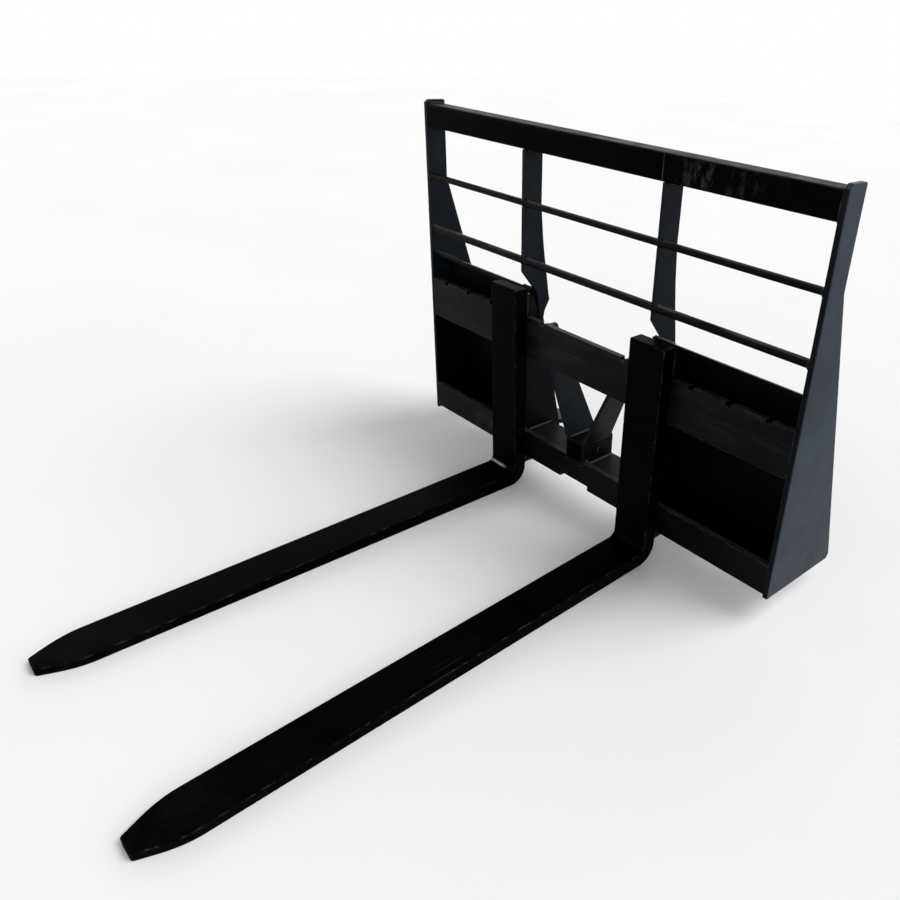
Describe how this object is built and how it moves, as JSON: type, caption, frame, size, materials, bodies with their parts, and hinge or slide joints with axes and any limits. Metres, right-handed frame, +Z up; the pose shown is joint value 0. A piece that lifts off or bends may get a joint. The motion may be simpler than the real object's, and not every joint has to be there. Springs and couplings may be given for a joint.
{
  "type": "pallet fork attachment",
  "caption": "Loader pallet fork attachment: welded carriage frame with guard rods, rear coupler hooks, hitch receiver and sliding latched forks.",
  "frame": {"origin": "floor point below the middle of the whole object, on the plane that the fork blades stand on", "axes": "+X to the right seen from the forks' side, -Y along the forks towards their tips, +Z up"},
  "size_m": [1.2446, 1.4529, 0.9591],
  "materials": {
    "frame_paint": "semi-gloss black paint over welded steel",
    "fork_paint": "semi-gloss black paint over forged steel",
    "latch_steel": "zinc plated steel, dulled",
    "spring_steel": "spring wire"
  },
  "bodies": {
    "carriage": {"left_side_plate": "frame_paint", "right_side_plate": "frame_paint", "top_rail": "frame_paint", "upper_guard_rod": "frame_paint", "lower_guard_rod": "frame_paint", "left_upright": "frame_paint", "right_upright": "frame_paint", "upper_fork_bar": "frame_paint", "lower_fork_bar": "frame_paint", "left_coupler_plate": "frame_paint", "right_coupler_plate": "frame_paint", "left_top_lip": "frame_paint", "right_top_lip": "frame_paint", "left_lock_flange": "frame_paint", "right_lock_flange": "frame_paint", "floor_plate": "frame_paint", "left_bay_floor": "frame_paint", "right_bay_floor": "frame_paint", "receiver_tube": "frame_paint", "left_brace": "frame_paint", "right_brace": "frame_paint"},
    "left_fork_body": {"left_fork": "fork_paint", "left_upper_hook": "fork_paint", "left_lower_hook": "fork_paint", "left_latch_cap": "fork_paint", "left_latch_spring": "spring_steel"},
    "left_latch_body": {"left_latch_pin": "latch_steel", "left_latch_handle": "latch_steel"},
    "right_fork_body": {"right_fork": "fork_paint", "right_upper_hook": "fork_paint", "right_lower_hook": "fork_paint", "right_latch_cap": "fork_paint", "right_latch_spring": "spring_steel"},
    "right_latch_body": {"right_latch_pin": "latch_steel", "right_latch_handle": "latch_steel"}
  },
  "joints": [
    {"name": "left_fork_slide", "type": "slide", "parent": "carriage", "child": "left_fork_body", "axis": [1, 0, 0], "range_m": [-0.3048, 0.1016]},
    {"name": "left_latch_slide", "type": "slide", "parent": "left_fork_body", "child": "left_latch_body", "axis": [0, 0, 1], "range_m": [-0.011, 0], "deforming": ["left_latch_spring"]},
    {"name": "right_fork_slide", "type": "slide", "parent": "carriage", "child": "right_fork_body", "axis": [1, 0, 0], "range_m": [-0.1016, 0.3048]},
    {"name": "right_latch_slide", "type": "slide", "parent": "right_fork_body", "child": "right_latch_body", "axis": [0, 0, 1], "range_m": [-0.011, 0], "deforming": ["right_latch_spring"]}
  ]
}
